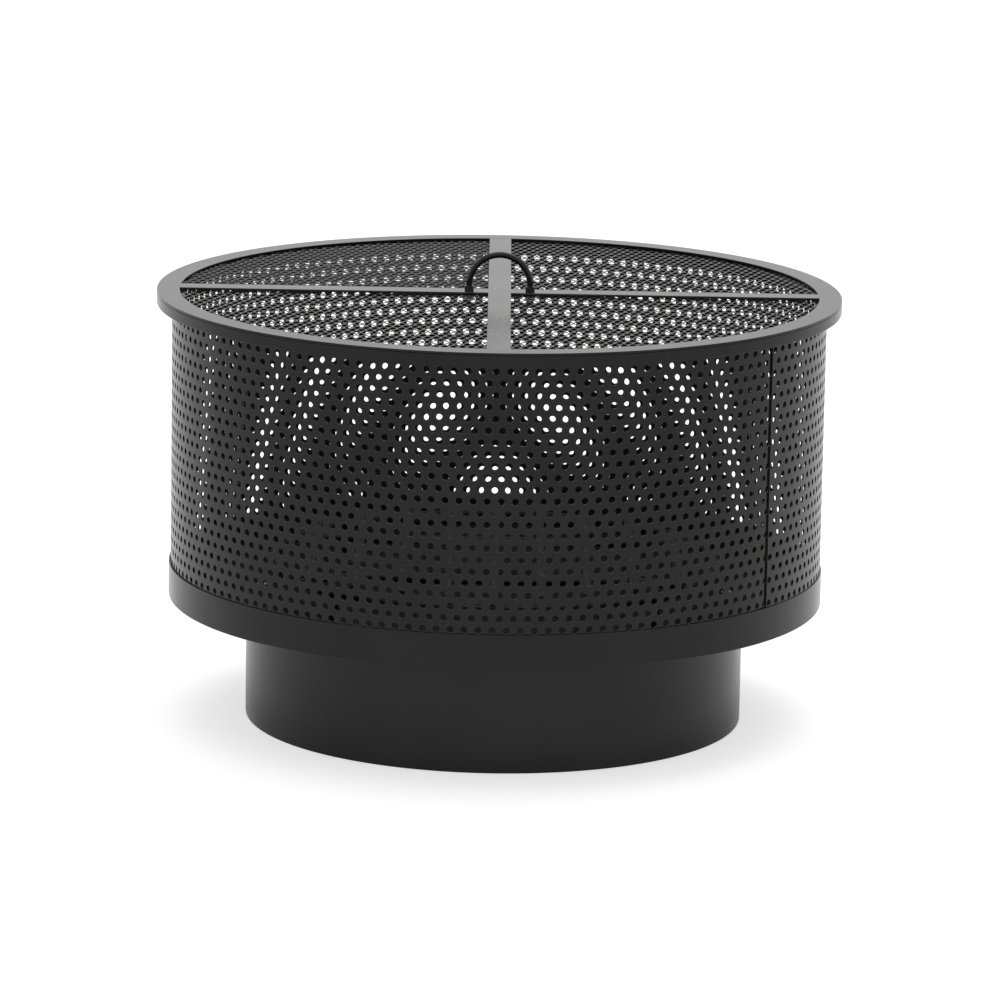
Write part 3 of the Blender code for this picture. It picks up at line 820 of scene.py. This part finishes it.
grate_paint = black_paint("matt_grate_paint", (0.009, 0.0085, 0.008, 1.0),
                          (0.017, 0.015, 0.013, 1.0), 0.62)
grate_radius = 0.1960
grate_rod = 0.0040
grate_ring_height = 0.1379
grate_bar_height = 0.1462
grate_foot = 0.1096


def round_bar(name, start, end, node):
    """A sheared length of round bar, its ends slightly burred over."""
    start = Vector(start)
    end = Vector(end)
    length = (end - start).length
    insets = (0.0, 0.0004, 0.0012, length / 2, length - 0.0012, length - 0.0004, length)
    shares = (0.80, 0.95, 1.0, 1.0, 1.0, 0.95, 0.80)
    bm = bmesh.new()
    tube(bm, [start + (end - start) * inset / length for inset in insets],
         [grate_rod * share for share in shares], 24)
    set_in_place(name, shaded_mesh(bm, name), grate_paint, "fuel_grate", [node])


set_in_place("grate_hoop", ring_of_wire("grate_hoop", grate_radius, grate_ring_height, grate_rod),
             grate_paint, "fuel_grate", ["grate_ring"], even_shading=False)
grate_welds = bmesh.new()
bar_spacing = 0.040
bar_places = [bar_spacing * (number - 4) for number in range(9)]
weld_height = (grate_ring_height + grate_bar_height) / 2


def grate_weld(x, y, half_length, width):
    """A bead beside a bar, along it, where it crosses another."""
    weld_bead(grate_welds, (x, y - half_length, weld_height), (x, y + half_length, weld_height), width)


for number, x in enumerate(bar_places, 1):
    reach = sqrt(grate_radius ** 2 - x * x)
    round_bar(f"grate_cross_{number}", (x, -reach, grate_bar_height), (x, reach, grate_bar_height),
              f"grate_bar_{number}")
    for y in (-reach, reach):
        inner = y * (1 - 0.0035 / abs(y))
        grate_weld(x - 0.0030, inner, 0.003, 0.0030)
        grate_weld(x + 0.0030, inner, 0.003, 0.0030)
tie_place = 0.080
tie_reach = sqrt(0.1912 ** 2 - 0.084 ** 2)
for end, y in (("front", -tie_place), ("rear", tie_place)):
    round_bar(f"grate_tie_{end}", (-tie_reach, y, grate_ring_height), (tie_reach, y, grate_ring_height),
              f"grate_{end}_tie")
    for x in bar_places:
        if abs(x) < tie_reach:
            grate_weld(x + 0.0028, y, 0.0025, 0.0028)
leg_height = 0.0240
leg_weld_height = grate_foot + 0.0235
for number in range(4):
    turn = radians(45 + 90 * number)
    x = grate_radius * cos(turn)
    y = grate_radius * sin(turn)
    round_bar(f"grate_foot_{number + 1}", (x, y, grate_foot), (x, y, grate_foot + leg_height),
              f"grate_leg_{number + 1}")
    weld_bead(grate_welds, (x * 0.985, y * 0.985, leg_weld_height),
              (x * 1.012, y * 1.012, leg_weld_height), 0.0036)
set_in_place("grate_weld_beads", shaded_mesh(grate_welds, "grate_weld_beads"), grate_paint, "fuel_grate",
             even_shading=False)


# Floor: a plain white studio sweep that keeps the pit's shadow. It is white to the camera and, a
# little less, in reflections.

floor_mesh = bpy.data.meshes.new("studio_floor")
floor_mesh.from_pydata([(-6, -6, 0), (6, -6, 0), (6, 6, 0), (-6, 6, 0)], [], [(0, 1, 2, 3)])
floor = bpy.data.objects.new("studio_floor", floor_mesh)
bpy.context.scene.collection.objects.link(floor)
sweep = Finish("studio_white")
sweep.coat(Base_Color=(0.8, 0.8, 0.8, 1.0), Roughness=0.9, Specular_IOR_Level=0.0)
seen = sweep.node("LightPath", output="Is Camera Ray")
mirrored = (sweep.node("LightPath", output="Is Glossy Ray")
            + sweep.node("LightPath", output="Is Transmission Ray"))
sweep.coat(Emission_Color=seen * 0.55 + mirrored * 0.25, Emission_Strength=1.0)
floor_mesh.materials.append(sweep.material)


# Studio light: an even pale dome and one broad overhead lamp. The dome is white to the camera and
# in reflections.

world = bpy.data.worlds.new("studio")
bpy.context.scene.world = world
world.use_nodes = True
dome = world.node_tree

dome_rays = dome.nodes.new("ShaderNodeLightPath")
shown = (Socket(dome, dome_rays.outputs["Is Camera Ray"]) + Socket(dome, dome_rays.outputs["Is Glossy Ray"])
         + Socket(dome, dome_rays.outputs["Is Transmission Ray"]))
backdrop = dome.nodes["Background"]
feed(dome, backdrop.inputs["Color"], 0.75 + shown * 0.25)
feed(dome, backdrop.inputs["Strength"], 1.0)

lamp = bpy.data.lights.new("overhead_softbox", "AREA")
lamp.shape = "RECTANGLE"
lamp.size = 2.4
lamp.size_y = 1.6
lamp.energy = 22.0
lamp_object = bpy.data.objects.new("overhead_softbox", lamp)
lamp_object.location = (0.15, 0.5, 2.6)
lamp_aim = Vector((0.0, 0.0, 0.25)) - lamp_object.location
lamp_object.rotation_euler = lamp_aim.to_track_quat("-Z", "Y").to_euler()
bpy.context.scene.collection.objects.link(lamp_object)


# Camera: the photograph's, 5.2 m away and 11.9 degrees above the level, turned a degree.

sight = Vector((0.0, 0.0, 0.2))
distance = 5.2091
elevation = radians(11.879)
roll = radians(0.992)
ahead = Vector((0.0, cos(elevation), -sin(elevation)))
level = Vector((1.0, 0.0, 0.0))
upright = level.cross(ahead)
right = level * cos(roll) + upright * sin(roll)
upward = upright * cos(roll) - level * sin(roll)
camera_data = bpy.data.cameras.new("camera")
camera_data.sensor_width = 36.0
camera_data.lens = 212.39
camera_data.shift_x = 0.00385
camera_data.shift_y = -0.00829
camera_data.clip_end = 60.0
camera = bpy.data.objects.new("camera", camera_data)
spot = sight - ahead * distance
turned = Matrix((right, upward, -ahead)).transposed().to_4x4()
camera.matrix_world = Matrix.Translation(spot) @ turned
bpy.context.scene.collection.objects.link(camera)
bpy.context.scene.camera = camera
bpy.context.scene.view_settings.view_transform = "Standard"
